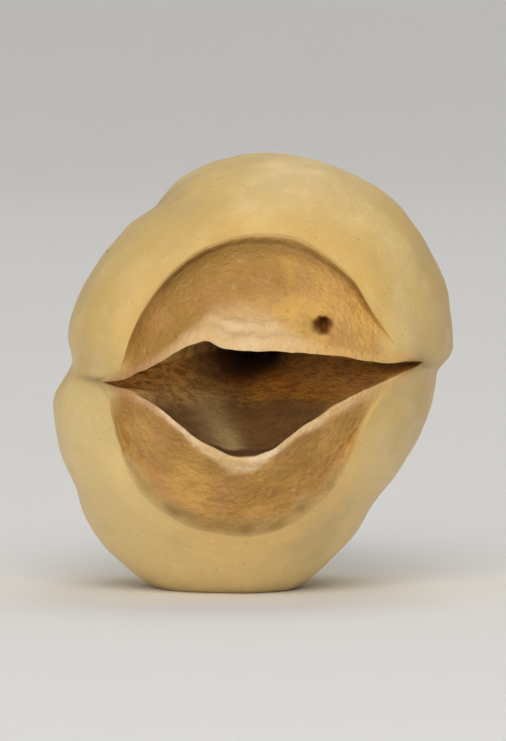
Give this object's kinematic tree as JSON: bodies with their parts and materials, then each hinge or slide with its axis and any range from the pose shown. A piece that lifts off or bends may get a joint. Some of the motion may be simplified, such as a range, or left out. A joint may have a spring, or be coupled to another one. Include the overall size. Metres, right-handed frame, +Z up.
{
  "type": "lotus seed",
  "caption": "Peeled and cored lotus seed: an egg-shaped body of two joined seed leaves, gaping at the tip in a brown, lipped crater, with a small drilled hole at the base.",
  "frame": {"origin": "centre of the seed's bounding box, at the level of the surface it lies on", "axes": "+Z up; +Y along the seed's long axis, from the open tip at -Y to the drilled base at +Y; +X to the right as the mouth is looked into"},
  "size_m": [0.0116, 0.0142, 0.0126],
  "materials": {
    "seed_flesh": "dry, waxy ivory to honey skin with a faint sheen, and rough reddish brown in the crater round the mouth"
  },
  "bodies": {
    "root": {"lotus_seed": "seed_flesh"}
  },
  "joints": []
}
